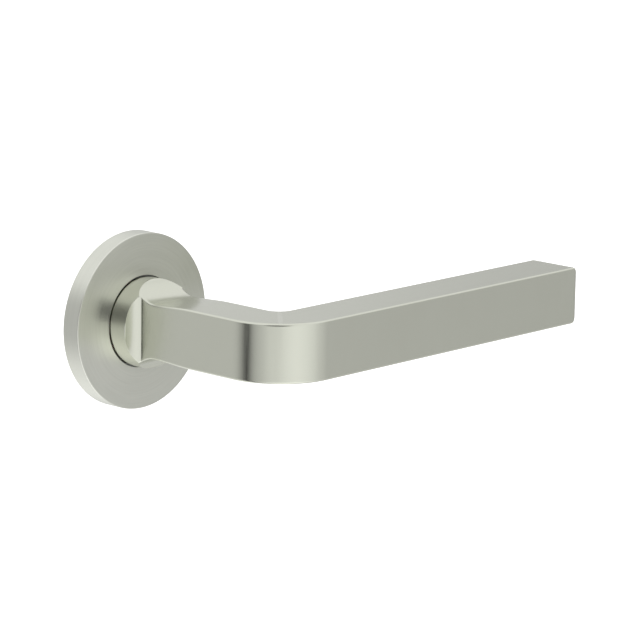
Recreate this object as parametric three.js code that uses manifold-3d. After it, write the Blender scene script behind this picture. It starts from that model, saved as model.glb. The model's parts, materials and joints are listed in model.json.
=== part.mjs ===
// Door lever handle on a round rose: one half of a set, for a door with an 8 mm follower.
// Millimetres. Every piece is drawn in the door's own directions: X along the lever towards its tip,
// Y up, Z out of the door, with the door face at Z = 0 and the spindle axis through the origin.
// The whole group is turned at the end, so that up is +Z and the handle stands out towards -Y.

import * as THREE from 'three';
import { mergeVertices } from 'three/addons/utils/BufferGeometryUtils.js';
import Module from 'manifold-3d';

const wasm = await Module();
wasm.setup();

// ---------------------------------------------------------------- driving sizes: outside

const roseDiameter = 52;
const roseThickness = 6;
const coverWall = 1;
const coverEdgeRound = 0.5;

const leverReach = 123.6; // spindle axis to tip
const leverProjection = 69.3; // door face to the lever's front face
const barThickness = 16.8; // front face to back face
const barHeight = 17.4;
const barEdgeRound = 0.7;
const bendOuterRadius = 19;
const bendInnerRadius = 4.5;
const tipFrontRound = 1.8;
const tipBackRound = 1.8;
const tipEdgeRound = 1.3;

const neckDiameter = 26.5;
const sideScoopStart = 12.2; // where the hollows left and right of the neck begin
const sideScoopSweep = 40; // degrees of arc in such a hollow, which ends in a crease on the shank
const ridgeRound = 0.07; // on the edges of the hollows
const waistHeight = 16.3; // the shank is a little lower here than the bar is
const waistAt = 19.1;
const crownScoopRadius = 9.8; // hollows above and below the neck
const fullHeightAt = 33;

// ---------------------------------------------------------------- driving sizes: inside

const spindleSize = 8;
const spindleInside = 26; // how far the spindle's inner end stands from the door face
const spindleOutside = 20; // how far it reaches into the door
const spindleChamfer = 0.8;
const socketDepth = 28;

const grubDiameter = 5;
const grubLength = 3.4;
const grubAt = 22;
const grubHexAcross = 2.5;
const grubHexDepth = 1.6;

const journalDiameter = 18;
const journalFlats = 15.4; // across the two flats that turn the carrier
const journalBeyondClip = 0.9;

const baseRimWall = 2.2;
const baseWeb = 1.5;
const bushWall = 1;
const bushFlange = 0.7;

const drumWall = 1.9;
const drumDepth = 4.6; // behind the door face
const earRadius = 3;
const earThickness = 2.5;
const earReach = 1.8; // from the drum to the ear's screw
const earAngles = [0, 135, 225];

const springWire = 1.8;
const springTurns = 2.5;
const springPitch = 2.1;
const springRoom = 4.9; // from the journal to the drum's inner wall
const springFixedAngle = 180;

const travelAngle = 45;
const tabWidth = 3;
const tabRise = 3.3;
const bufferWidth = 1;

const thrustRing = 0.6;
const carrierThickness = 1.4;
const waveWasher = 0.35;
const waveRise = 0.12;
const waveCount = 3;
const clipThickness = 1;
const clipGroove = 0.8;
const clipWidth = 2.4;
const clipOpening = 40;

const fixingHole = 4.3;
const bossDiameter = 6.8;
const postDiameter = 6;
const postLength = 8;
const postToDrum = 0.2;
const postScrew = { diameter: 3.8, head: 7.2, length: 10.4, slot: 0.9 };
const housingScrew = { diameter: 2.7, head: 5.2, length: 4, slot: 0.7 };

const ringSection = 1.5;

// ---------------------------------------------------------------- clearances

const restGap = 0.3; // between two pieces that are still to each other
const slideGap = 0.15; // between two faces that turn on each other
const runGap = 0.2; // round a turning piece
const neckGap = 0.35; // the fine dark line round the neck
const coilGap = 0.5; // round the spring

// ---------------------------------------------------------------- worked-out places

const neckRadius = neckDiameter / 2;
const journalRadius = journalDiameter / 2;
const roseRadius = roseDiameter / 2;
const coverInside = roseRadius - coverWall;
const coverUnderside = roseThickness - coverWall;

const baseRadius = coverInside - 0.8;
const baseTop = coverUnderside - restGap;
const webUnderside = baseTop - baseWeb;
const bushFoot = baseTop + slideGap;
const neckFoot = bushFoot + bushFlange + slideGap;
const bushBore = journalRadius + runGap;
const bushOutside = bushBore + bushWall;

const drumInside = journalRadius + springRoom;
const drumOutside = drumInside + drumWall;
const housingTop = webUnderside - restGap;
const fixingRadius = drumOutside + postToDrum + postDiameter / 2;
const earScrewRadius = drumOutside + earReach;

const ringTop = -drumDepth - slideGap;
const carrierTop = ringTop - thrustRing - slideGap;
const carrierFoot = carrierTop - carrierThickness;
const washerTop = carrierFoot - slideGap;
const washerFoot = washerTop - waveWasher - 2 * waveRise;
const clipTop = washerFoot - slideGap;
const clipFoot = clipTop - clipThickness;
const grooveTop = clipTop + runGap;
const grooveFoot = clipFoot - runGap;
const journalFoot = grooveFoot - journalBeyondClip;
const grooveRadius = journalRadius - clipGroove;
const carrierRadius = drumOutside - runGap;

const coilRadius = drumInside - springWire / 2 - coilGap;
const coilTop = housingTop - springWire / 2 - slideGap;
const coilFoot = coilTop - springTurns * springPitch;
const legReach = drumOutside - drumWall / 2;
const notchTop = coilFoot + springWire / 2 + coilGap;

const FULL_TURN = 2 * Math.PI;
const LARGE_SEGMENTS = 56; // round a wide piece
const SMALL_SEGMENTS = 16; // round a narrow one
const WIDE_ARC = 24; // along an arc of a wide outline
const SHORT_ARC = 6;

// ---------------------------------------------------------------- finishes

const finishes = {
  satinNickel: { color: 0xbcb8ab, roughness: 0.36, metalness: 1 },
  castZinc: { color: 0x9a9c9d, roughness: 0.55, metalness: 0.9 },
  steel: { color: 0xa9adb0, roughness: 0.4, metalness: 1 },
  springSteel: { color: 0x6c6a66, roughness: 0.38, metalness: 1 },
  blackSteel: { color: 0x2c2d2f, roughness: 0.5, metalness: 0.8 },
  nylon: { color: 0xe6e2d6, roughness: 0.5, metalness: 0 },
  rubber: { color: 0x1c1c1d, roughness: 0.8, metalness: 0 },
};

// ---------------------------------------------------------------- tools

const radians = (degrees) => THREE.MathUtils.degToRad(degrees);

// An angle, in degrees, that a width takes up at a radius.
const spanAt = (width, radius) => THREE.MathUtils.radToDeg(width / radius);

const polar = (radius, degrees) =>
  new THREE.Vector2(radius * Math.cos(radians(degrees)), radius * Math.sin(radians(degrees)));

function toSolid(geometry) {
  const plain = geometry.clone();
  plain.deleteAttribute('normal');
  plain.deleteAttribute('uv');
  const merged = mergeVertices(plain);
  return new wasm.Manifold(new wasm.Mesh({
    numProp: 3,
    vertProperties: merged.attributes.position.array,
    triVerts: new Uint32Array(merged.index.array),
  }));
}

function toGeometry(solid) {
  const mesh = solid.getMesh();
  const geometry = new THREE.BufferGeometry();
  geometry.setAttribute('position', new THREE.BufferAttribute(mesh.vertProperties, 3));
  geometry.setIndex(new THREE.BufferAttribute(mesh.triVerts, 1));
  geometry.computeVertexNormals();
  return geometry;
}

// A flat outline in X and Y, made into a solid from the height "foot" to the height "top".
function slab(shape, foot, top, curveSegments = WIDE_ARC) {
  const options = { depth: top - foot, bevelEnabled: false, curveSegments };
  const geometry = new THREE.ExtrudeGeometry(shape, options);
  geometry.translate(0, 0, foot);
  return toSolid(geometry);
}

// A closed outline of [radius, height] pairs turned round the Z axis.
function turned(outline, segments = LARGE_SEGMENTS) {
  const points = outline.map(([radius, height]) => new THREE.Vector2(radius, height));
  const geometry = new THREE.LatheGeometry(points, segments);
  geometry.rotateX(Math.PI / 2);
  return toSolid(geometry);
}

function tubeRing(inner, outer, foot, top, segments = LARGE_SEGMENTS) {
  return turned([[inner, foot], [outer, foot], [outer, top], [inner, top], [inner, foot]], segments);
}

function cylinder(radius, foot, top, segments = SMALL_SEGMENTS) {
  return turned([[0, foot], [radius, foot], [radius, top], [0, top]], segments);
}

function cylinderAt(place, radius, foot, top, segments = SMALL_SEGMENTS) {
  return cylinder(radius, foot, top, segments).translate([place.x, place.y, 0]);
}

function ringSector(inner, outer, fromDegrees, toDegrees) {
  const shape = new THREE.Shape();
  const start = polar(inner, fromDegrees);
  const outerStart = polar(outer, fromDegrees);
  const innerEnd = polar(inner, toDegrees);
  shape.moveTo(start.x, start.y);
  shape.lineTo(outerStart.x, outerStart.y);
  shape.absarc(0, 0, outer, radians(fromDegrees), radians(toDegrees), false);
  shape.lineTo(innerEnd.x, innerEnd.y);
  shape.absarc(0, 0, inner, radians(toDegrees), radians(fromDegrees), true);
  return shape;
}

function rectangle(width, height) {
  const shape = new THREE.Shape();
  shape.moveTo(-width / 2, -height / 2);
  shape.lineTo(width / 2, -height / 2);
  shape.lineTo(width / 2, height / 2);
  shape.lineTo(-width / 2, height / 2);
  shape.closePath();
  return shape;
}

function box(width, height, foot, top) {
  return slab(rectangle(width, height), foot, top);
}

function piece(name, solid, finish) {
  const mesh = new THREE.Mesh(toGeometry(solid), new THREE.MeshStandardMaterial(finishes[finish]));
  mesh.name = name;
  return mesh;
}

// ---------------------------------------------------------------- lever

const CORNER_STEPS = 6;
const SCOOP_STEPS = 6;
const BEND_STEPS = 10;
const TIP_STEPS = 4;

const scoopSweep = THREE.MathUtils.degToRad(sideScoopSweep);
const sideScoopRadius = (neckRadius - barThickness / 2) / Math.sin(scoopSweep);
const sideScoopEnd = sideScoopStart + sideScoopRadius * (1 - Math.cos(scoopSweep));
const crownCentre = waistHeight / 2 + crownScoopRadius;
const crownStart = waistAt - Math.sqrt(crownScoopRadius ** 2 - (crownCentre - neckRadius) ** 2);

// Half the shank's width at a height above the door: the neck, then a round hollow.
function halfWidthAt(height) {
  if (height <= sideScoopStart) return neckRadius;
  if (height >= sideScoopEnd) return barThickness / 2;
  const above = sideScoopRadius - (height - sideScoopStart);
  return neckRadius - Math.sqrt(sideScoopRadius ** 2 - above ** 2);
}

// Half its height: the neck, a round hollow down to the waist, then a slow swell to the bar's height.
function halfHeightAt(height) {
  if (height <= crownStart) return neckRadius;
  if (height >= fullHeightAt) return barHeight / 2;
  if (height <= waistAt) return crownCentre - Math.sqrt(crownScoopRadius ** 2 - (waistAt - height) ** 2);
  const swell = THREE.MathUtils.smoothstep(height, waistAt, fullHeightAt);
  return THREE.MathUtils.lerp(waistHeight / 2, barHeight / 2, swell);
}

// The four rounded corners of one cross-section, as [across, up] pairs. Where the section is larger
// than the round neck, the neck's own circle cuts its corners.
function crossSection(halfWidth, halfHeight, edgeRound) {
  const widest = neckRadius * Math.cos(Math.PI / (4 * CORNER_STEPS));
  const across = Math.min(halfWidth, widest);
  const up = Math.min(halfHeight, widest);
  const cutByNeck = Math.hypot(across, up) >= neckRadius;
  const from = cutByNeck ? Math.acos(across / neckRadius) : 0;
  const to = cutByNeck ? Math.asin(up / neckRadius) : Math.PI / 2;
  const radius = cutByNeck ? neckRadius : edgeRound;
  const centre = cutByNeck ? [0, 0] : [across - edgeRound, up - edgeRound];
  const corner = [];
  for (let step = 0; step <= CORNER_STEPS; step += 1) {
    const angle = THREE.MathUtils.lerp(from, to, step / CORNER_STEPS);
    corner.push([centre[0] + radius * Math.cos(angle), centre[1] + radius * Math.sin(angle)]);
  }
  const mirrored = [...corner].reverse();
  return [
    ...corner,
    ...mirrored.map(([x, y]) => [-x, y]),
    ...corner.map(([x, y]) => [-x, -y]),
    ...mirrored.map(([x, y]) => [x, -y]),
  ];
}

// The heights at which the neck and shank need a cross-section.
function shankHeights() {
  const heights = [neckFoot, crownStart, sideScoopStart];
  for (let step = 1; step <= SCOOP_STEPS; step += 1) {
    const angle = scoopSweep * (step / SCOOP_STEPS);
    heights.push(sideScoopStart + sideScoopRadius * (1 - Math.cos(angle)));
    heights.push(THREE.MathUtils.lerp(waistAt, fullHeightAt, step / SCOOP_STEPS));
  }
  heights.push(waistAt);
  return heights.sort((a, b) => a - b);
}

// Each station of the lever: a point on its outer side and one on its inner side, seen from above,
// as [along, height above the door], with half the lever's height and its edge rounding there.
function leverStations() {
  const stations = shankHeights().map((height) => {
    const halfWidth = halfWidthAt(height);
    const grown = THREE.MathUtils.smoothstep(height, sideScoopStart, waistAt);
    return {
      outer: [-halfWidth, height],
      inner: [halfWidth, height],
      halfHeight: halfHeightAt(height),
      edgeRound: THREE.MathUtils.lerp(ridgeRound, barEdgeRound, grown),
    };
  });

  const halfThickness = barThickness / 2;
  const backFace = leverProjection - barThickness;
  const outerCentre = [bendOuterRadius - halfThickness, leverProjection - bendOuterRadius];
  const innerCentre = [halfThickness + bendInnerRadius, backFace - bendInnerRadius];
  for (let step = 0; step <= BEND_STEPS; step += 1) {
    const angle = Math.PI - (Math.PI / 2) * (step / BEND_STEPS);
    const turn = [Math.cos(angle), Math.sin(angle)];
    stations.push({
      outer: [outerCentre[0] + bendOuterRadius * turn[0], outerCentre[1] + bendOuterRadius * turn[1]],
      inner: [innerCentre[0] + bendInnerRadius * turn[0], innerCentre[1] + bendInnerRadius * turn[1]],
      halfHeight: barHeight / 2,
      edgeRound: barEdgeRound,
    });
  }

  for (let step = 0; step <= TIP_STEPS; step += 1) {
    const angle = (Math.PI / 2) * (step / TIP_STEPS);
    const forward = Math.sin(angle);
    const sunk = 1 - Math.cos(angle);
    stations.push({
      outer: [leverReach - tipFrontRound * (1 - forward), leverProjection - tipFrontRound * sunk],
      inner: [leverReach - tipBackRound * (1 - forward), backFace + tipBackRound * sunk],
      halfHeight: barHeight / 2 - tipEdgeRound * sunk,
      edgeRound: barEdgeRound + tipEdgeRound * sunk,
    });
  }
  return stations;
}

// A closed skin over the stations' cross-sections, with a flat cap on the first and the last.
function leverBody() {
  const rings = leverStations().map(({ outer, inner, halfHeight, edgeRound }) => {
    const middle = [(outer[0] + inner[0]) / 2, (outer[1] + inner[1]) / 2];
    const halfWidth = Math.hypot(inner[0] - outer[0], inner[1] - outer[1]) / 2;
    const along = [(inner[0] - middle[0]) / halfWidth, (inner[1] - middle[1]) / halfWidth];
    return crossSection(halfWidth, halfHeight, edgeRound)
      .map(([across, up]) => [middle[0] + along[0] * across, up, middle[1] + along[1] * across]);
  });
  const count = rings[0].length;
  const positions = rings.flat(2);
  const faces = [];
  for (let ring = 0; ring < rings.length - 1; ring += 1) {
    for (let side = 0; side < count; side += 1) {
      const next = (side + 1) % count;
      const low = ring * count;
      const high = low + count;
      faces.push(low + side, low + next, high + next);
      faces.push(low + side, high + next, high + side);
    }
  }
  const lastRing = (rings.length - 1) * count;
  for (let side = 1; side < count - 1; side += 1) {
    faces.push(0, side + 1, side);
    faces.push(lastRing, lastRing + side, lastRing + side + 1);
  }
  const geometry = new THREE.BufferGeometry();
  geometry.setAttribute('position', new THREE.Float32BufferAttribute(positions, 3));
  geometry.setIndex(faces);
  return toSolid(geometry);
}

// What is left of a round shaft between its two flats.
function flattened(shaft, across, foot, top) {
  const reach = 2 * neckDiameter;
  const trim = box(reach, reach, foot, top).subtract(box(reach, across, foot, top));
  return shaft.subtract(trim);
}

function grubHole() {
  const hole = cylinder(grubDiameter / 2, 0, neckDiameter);
  return hole.rotate([90, 0, 0]).translate([0, 0, grubAt]);
}

function lever() {
  const journal = turned([
    [0, journalFoot], [grooveRadius, journalFoot], [journalRadius, journalFoot + clipGroove / 2],
    [journalRadius, neckFoot + restGap], [0, neckFoot + restGap],
  ]);
  const keyed = flattened(journal, journalFlats, journalFoot, carrierTop + restGap);
  const groove = tubeRing(grooveRadius, neckRadius, grooveFoot, grooveTop);
  const socketSize = spindleSize + 2 * runGap;
  const socket = box(socketSize, socketSize, journalFoot - restGap, socketDepth);
  return leverBody().add(keyed.subtract(groove)).subtract(socket).subtract(grubHole());
}

// ---------------------------------------------------------------- pieces that turn with the lever

function spindle() {
  const side = spindleSize - 2 * spindleChamfer;
  const geometry = new THREE.ExtrudeGeometry(rectangle(side, side), {
    depth: spindleInside + spindleOutside - 2 * spindleChamfer,
    bevelEnabled: true,
    bevelThickness: spindleChamfer,
    bevelSize: spindleChamfer,
    bevelSegments: 1,
  });
  geometry.translate(0, 0, spindleChamfer - spindleOutside);
  return toSolid(geometry);
}

function hexagon(across) {
  const shape = new THREE.Shape();
  for (let corner = 0; corner < 6; corner += 1) {
    const place = polar(across / Math.sqrt(3), 60 * corner);
    if (corner === 0) shape.moveTo(place.x, place.y);
    else shape.lineTo(place.x, place.y);
  }
  shape.closePath();
  return shape;
}

// The grub screw points up at the spindle, with its hexagon socket facing down.
function grubScrew() {
  const radius = grubDiameter / 2 - restGap;
  const tip = spindleSize / 2 + runGap + restGap;
  const cone = radius / 2;
  const body = turned([
    [0, tip], [cone, tip], [radius, tip + cone], [radius, tip + grubLength], [0, tip + grubLength],
  ], SMALL_SEGMENTS);
  const socket = slab(hexagon(grubHexAcross), tip + grubLength - grubHexDepth, tip + grubLength + 1);
  return body.subtract(socket).rotate([90, 0, 0]).translate([0, 0, grubAt]);
}

const springFreeAngle = springFixedAngle - 360 * springTurns;
const legHalfAngle = spanAt(springWire / 2, legReach);
const tabHalfAngle = spanAt(tabWidth / 2, legReach);
const restGapAngle = spanAt(restGap, legReach);
const tabAngle = springFreeAngle + legHalfAngle + restGapAngle + tabHalfAngle;

// A disc with a two-flat hole, two windows and one tab that pushes the spring's free leg.
function springCarrier() {
  const disc = cylinder(carrierRadius, carrierFoot, carrierTop, LARGE_SEGMENTS);
  const holeFoot = carrierFoot - restGap;
  const holeTop = carrierTop + restGap;
  const roundHole = cylinder(journalRadius + runGap, holeFoot, holeTop, LARGE_SEGMENTS);
  const hole = flattened(roundHole, journalFlats + 2 * runGap, holeFoot, holeTop);
  const windowInner = journalRadius + runGap + carrierThickness;
  const windowOuter = carrierRadius - carrierThickness;
  const windows = [75, 195].map((start) =>
    slab(ringSector(windowInner, windowOuter, start, start + 90), holeFoot, holeTop, SHORT_ARC));
  const tabShape = ringSector(
    drumInside + runGap, carrierRadius - runGap, tabAngle - tabHalfAngle, tabAngle + tabHalfAngle);
  const tab = slab(tabShape, carrierFoot, carrierTop + tabRise, SHORT_ARC);
  return windows.reduce((left, window) => left.subtract(window), disc.subtract(hole)).add(tab);
}

// A thin spring washer with three waves round it.
function waveWasherRing() {
  const ring = new THREE.Shape();
  ring.absarc(0, 0, drumInside - springWire, 0, FULL_TURN, false);
  const hole = new THREE.Path();
  hole.absarc(0, 0, journalRadius + runGap, 0, FULL_TURN, true);
  ring.holes.push(hole);
  const middle = washerFoot + waveRise;
  const options = { depth: waveWasher, bevelEnabled: false, curveSegments: WIDE_ARC };
  const geometry = new THREE.ExtrudeGeometry(ring, options);
  geometry.translate(0, 0, middle);
  const place = geometry.attributes.position;
  for (let point = 0; point < place.count; point += 1) {
    const angle = Math.atan2(place.getY(point), place.getX(point));
    place.setZ(point, place.getZ(point) + waveRise * Math.sin(waveCount * angle));
  }
  return toSolid(geometry);
}

// An open ring with two drilled ears, for circlip pliers.
function circlip() {
  const inner = grooveRadius + restGap;
  const outer = inner + clipWidth;
  const half = clipOpening / 2;
  const ring = slab(ringSector(inner, outer, 270 + half, 270 + 360 - half), clipFoot, clipTop);
  const earSize = clipWidth * 0.75;
  const earPlaces = [270 + half, 270 - half].map((angle) => polar(outer, angle));
  const withEars = earPlaces.reduce(
    (left, place) => left.add(cylinderAt(place, earSize, clipFoot, clipTop)), ring);
  return earPlaces.reduce(
    (left, place) => left.subtract(cylinderAt(place, earSize / 2, clipFoot - 1, clipTop + 1)), withEars);
}

// ---------------------------------------------------------------- fixed pieces

function roseCover() {
  const hole = neckRadius + neckGap;
  const outline = [
    [hole, coverUnderside], [coverInside, coverUnderside], [coverInside, 0], [roseRadius, 0],
  ];
  const roundSteps = 4;
  for (let step = 0; step <= roundSteps; step += 1) {
    const angle = (Math.PI / 2) * (step / roundSteps);
    outline.push([
      roseRadius - coverEdgeRound * (1 - Math.cos(angle)),
      roseThickness - coverEdgeRound * (1 - Math.sin(angle)),
    ]);
  }
  outline.push([hole, roseThickness], [hole, coverUnderside]);
  return turned(outline);
}

const fixingPlaces = { upper: polar(fixingRadius, 90), lower: polar(fixingRadius, -90) };
const earPlaces = earAngles.map((angle) => polar(earScrewRadius, angle));

// A hole for a countersunk screw, whose head sits just under the base's front face.
function countersink(place, screw) {
  const radius = screw.diameter / 2 + restGap;
  const head = screw.head / 2 + restGap;
  const depth = head - radius;
  const tool = turned([
    [0, -drumDepth], [radius, -drumDepth], [radius, baseTop - depth], [head, baseTop],
    [head, baseTop + 1], [0, baseTop + 1],
  ], SMALL_SEGMENTS);
  return tool.translate([place.x, place.y, 0]);
}

const ringCentre = coverInside - runGap - ringSection / 2;
const ringHeight = baseTop / 2;

function roseBase() {
  const web = tubeRing(bushOutside + runGap, baseRadius, webUnderside, baseTop);
  const rim = tubeRing(baseRadius - baseRimWall, baseRadius, 0, baseTop);
  const grooveHalf = ringSection / 2 + restGap;
  const groove = tubeRing(
    ringCentre - ringSection / 2 - runGap, roseRadius, ringHeight - grooveHalf, ringHeight + grooveHalf);
  const bosses = Object.values(fixingPlaces).map((place) =>
    cylinderAt(place, bossDiameter / 2, 0, webUnderside + restGap));
  const solid = bosses.reduce((left, boss) => left.add(boss), web.add(rim)).subtract(groove);
  const holes = [
    ...Object.values(fixingPlaces).map((place) => countersink(place, postScrew)),
    ...earPlaces.map((place) => countersink(place, housingScrew)),
    ...earPlaces.map((place) =>
      cylinderAt(place, earRadius + restGap, -restGap, housingTop + restGap / 2)),
  ];
  return holes.reduce((left, hole) => left.subtract(hole), solid);
}

function coverRing() {
  const outline = [];
  const steps = 8;
  for (let step = 0; step <= steps; step += 1) {
    const angle = FULL_TURN * ((step % steps) / steps);
    const radius = ringSection / 2;
    outline.push([ringCentre + radius * Math.cos(angle), ringHeight + radius * Math.sin(angle)]);
  }
  return turned(outline);
}

function neckBush() {
  const flangeRadius = neckRadius - neckGap;
  const foot = webUnderside - restGap;
  return turned([
    [bushBore, foot], [bushOutside, foot], [bushOutside, bushFoot], [flangeRadius, bushFoot],
    [flangeRadius, bushFoot + bushFlange], [bushBore, bushFoot + bushFlange], [bushBore, foot],
  ]);
}

// A slot through the drum's wall for the spring's fixed leg, open at the top.
function fixedLegSlot() {
  const half = spanAt(springWire / 2 + coilGap, legReach);
  const shape = ringSector(
    drumInside - restGap, drumOutside + restGap, springFixedAngle - half, springFixedAngle + half);
  return slab(shape, coilTop - springWire / 2 - coilGap, housingTop + restGap, SHORT_ARC);
}

const notchStart = springFreeAngle - legHalfAngle - travelAngle - 2 * restGapAngle;
const notchEnd = tabAngle + tabHalfAngle + spanAt(bufferWidth, legReach) + 2 * restGapAngle;

// The drum round the spring, with three screwed ears, a slot for one leg of the spring and a
// notch in which the carrier's tab and the other leg travel.
function springHousing() {
  const drum = tubeRing(drumInside, drumOutside, -drumDepth, housingTop);
  const earFoot = housingTop - earThickness;
  const ears = earPlaces.map((place) => cylinderAt(place, earRadius, earFoot, housingTop));
  const hollow = cylinder(drumInside, -drumDepth - restGap, housingTop + restGap, LARGE_SEGMENTS);
  const notch = slab(
    ringSector(drumInside - restGap, drumOutside + restGap, notchStart, notchEnd),
    -drumDepth - restGap, notchTop, SHORT_ARC);
  const scallop = Math.max(bossDiameter, postDiameter) / 2 + restGap;
  const cuts = [
    hollow,
    notch,
    fixedLegSlot(),
    ...Object.values(fixingPlaces).map((place) =>
      cylinderAt(place, scallop, -drumDepth - restGap, housingTop + restGap)),
    ...earPlaces.map((place) =>
      cylinderAt(place, housingScrew.diameter / 2 + restGap, earFoot - restGap, housingTop + restGap)),
  ];
  const solid = ears.reduce((left, ear) => left.add(ear), drum);
  return cuts.reduce((left, cut) => left.subtract(cut), solid);
}

// A nylon block on which the tab comes to rest.
function restBuffer() {
  const start = tabAngle + tabHalfAngle + restGapAngle;
  const shape = ringSector(
    drumInside + runGap, drumOutside - runGap, start, start + spanAt(bufferWidth, legReach));
  return slab(shape, -drumDepth + restGap, notchTop - restGap, SHORT_ARC);
}

// A nylon ring between the drum's rim and the carrier, open where the rim has its notch.
function thrustRingPiece() {
  const shape = ringSector(drumInside + runGap, carrierRadius, notchEnd, notchStart + 360);
  return slab(shape, ringTop - thrustRing, ringTop);
}

// The coil, with a straight leg at each end that points outwards.
const WIRE_SIDES = 8;
const STEPS_PER_TURN = 24;

class CoilCurve extends THREE.Curve {
  getPoint(fraction, target = new THREE.Vector3()) {
    const legLength = legReach - coilRadius;
    const coilLength = FULL_TURN * coilRadius * springTurns;
    const place = fraction * (coilLength + 2 * legLength) - legLength;
    const wound = THREE.MathUtils.clamp(place / coilLength, 0, 1);
    const beyond = Math.max(-place, place - coilLength, 0);
    const angle = radians(springFixedAngle) - FULL_TURN * springTurns * wound;
    const radius = coilRadius + beyond;
    const height = THREE.MathUtils.lerp(coilTop, coilFoot, wound);
    return target.set(radius * Math.cos(angle), radius * Math.sin(angle), height);
  }
}

function returnSpring() {
  const section = new THREE.Shape();
  section.absarc(0, 0, springWire / 2, 0, FULL_TURN, false);
  const geometry = new THREE.ExtrudeGeometry(section, {
    curveSegments: WIRE_SIDES / 2,
    steps: Math.round(STEPS_PER_TURN * springTurns),
    extrudePath: new CoilCurve(),
  });
  return toSolid(geometry);
}

// A steel sleeve behind the base, which takes the long bolt from the other side of the door.
function fixingPost(place) {
  const sleeve = tubeRing(fixingHole / 2, postDiameter / 2, -restGap - postLength, -restGap, SMALL_SEGMENTS);
  return sleeve.translate([place.x, place.y, 0]);
}

function countersunkScrew(place, screw, slotAngle) {
  const top = baseTop - restGap / 2;
  const radius = screw.diameter / 2;
  const head = screw.head / 2;
  const foot = top - screw.length;
  const body = turned([
    [0, foot], [radius / 2, foot], [radius, foot + radius / 2], [radius, top - (head - radius)],
    [head, top], [0, top],
  ], SMALL_SEGMENTS);
  const slot = box(screw.head + 1, screw.slot, top - screw.slot, top + 1).rotate([0, 0, slotAngle]);
  return body.subtract(slot).translate([place.x, place.y, 0]);
}

// ---------------------------------------------------------------- the assembly

const handle = new THREE.Group();
handle.name = 'door_lever_handle';

handle.add(
  piece('lever', lever(), 'satinNickel'),
  piece('grub_screw', grubScrew(), 'blackSteel'),
  piece('spindle', spindle(), 'steel'),
  piece('spring_carrier', springCarrier(), 'steel'),
  piece('wave_washer', waveWasherRing(), 'springSteel'),
  piece('circlip', circlip(), 'blackSteel'),
  piece('rose_cover', roseCover(), 'satinNickel'),
  piece('rose_base', roseBase(), 'castZinc'),
  piece('cover_ring', coverRing(), 'rubber'),
  piece('neck_bush', neckBush(), 'nylon'),
  piece('spring_housing', springHousing(), 'castZinc'),
  piece('rest_buffer', restBuffer(), 'nylon'),
  piece('thrust_ring', thrustRingPiece(), 'nylon'),
  piece('return_spring', returnSpring(), 'springSteel'),
);

Object.entries(fixingPlaces).forEach(([side, place]) => {
  handle.add(piece(`fixing_post_${side}`, fixingPost(place), 'steel'));
  handle.add(piece(`post_screw_${side}`, countersunkScrew(place, postScrew, 35), 'steel'));
});

earPlaces.forEach((place, index) => {
  const slotAngle = 25 + 50 * index;
  handle.add(piece(`housing_screw_${index + 1}`, countersunkScrew(place, housingScrew, slotAngle), 'steel'));
});

handle.rotation.x = Math.PI / 2;

export default handle;
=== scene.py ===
"""Looks of the door lever handle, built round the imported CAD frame.

The row frame: X along the lever towards its tip, Y into the door, Z up, metres. The spindle axis is
the Y axis and the door face is the plane y = 0. A "height" below is a distance out of the door, -y.
"""

import json
import math

import bmesh
import bpy
import numpy as np
from mathutils import Matrix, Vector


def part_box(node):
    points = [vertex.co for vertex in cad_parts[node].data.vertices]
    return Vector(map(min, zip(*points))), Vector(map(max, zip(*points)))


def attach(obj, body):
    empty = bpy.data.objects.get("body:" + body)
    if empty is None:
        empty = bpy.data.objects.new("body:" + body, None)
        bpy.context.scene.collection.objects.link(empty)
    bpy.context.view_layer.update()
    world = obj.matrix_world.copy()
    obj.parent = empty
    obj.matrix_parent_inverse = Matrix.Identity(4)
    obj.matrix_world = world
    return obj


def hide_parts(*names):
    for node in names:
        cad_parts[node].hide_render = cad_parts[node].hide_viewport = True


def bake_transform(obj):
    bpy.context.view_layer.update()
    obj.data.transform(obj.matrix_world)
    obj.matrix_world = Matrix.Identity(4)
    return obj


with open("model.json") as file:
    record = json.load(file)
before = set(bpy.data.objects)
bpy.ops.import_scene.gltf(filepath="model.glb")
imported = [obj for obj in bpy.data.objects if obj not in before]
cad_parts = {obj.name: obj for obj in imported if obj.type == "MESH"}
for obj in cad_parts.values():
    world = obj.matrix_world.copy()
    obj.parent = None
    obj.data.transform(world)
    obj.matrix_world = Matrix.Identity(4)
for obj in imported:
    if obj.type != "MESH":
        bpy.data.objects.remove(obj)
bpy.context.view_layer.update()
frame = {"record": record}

MM = 0.001

# -------------------- places, from the frame


def heights(node):
    """The lowest and highest height above the door face of a CAD node."""
    low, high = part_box(node)
    return -high.y, -low.y


def radius_of(node):
    """How far a CAD node that lies round the spindle axis reaches from it."""
    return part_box(node)[1].x


post_low, post_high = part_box("fixing_post_upper")
clip_foot, clip_top = heights("circlip")
carrier_foot, tab_top = heights("spring_carrier")
housing_foot, housing_top = heights("spring_housing")
bush_foot, bush_top = heights("neck_bush")
buffer_foot, buffer_top = heights("rest_buffer")
ring_foot, ring_top = heights("cover_ring")
ring_radius = radius_of("cover_ring")
base_radius = radius_of("rose_base")
bush_radius = radius_of("neck_bush")
spring_foot, spring_top = heights("return_spring")
base_top = heights("rose_base")[1]

TIP_X = radius_of("lever")
JOURNAL_END, FRONT = heights("lever")
ROSE_RADIUS = radius_of("rose_cover")
ROSE_THICKNESS = heights("rose_cover")[1]

# -------------------- sizes

BAR_THICKNESS = 16.8 * MM
BAR_HEIGHT = 17.4 * MM
BAR_ROUND = 0.7 * MM
BEND_OUTER = 19 * MM
BEND_INNER = 4.5 * MM
TIP_FRONT_ROUND = 1.8 * MM
TIP_BACK_ROUND = 1.8 * MM
TIP_EDGE_ROUND = 1.3 * MM
TIP_BULGE = 1.1 * MM
TIP_REACH = 6 * MM

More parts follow.
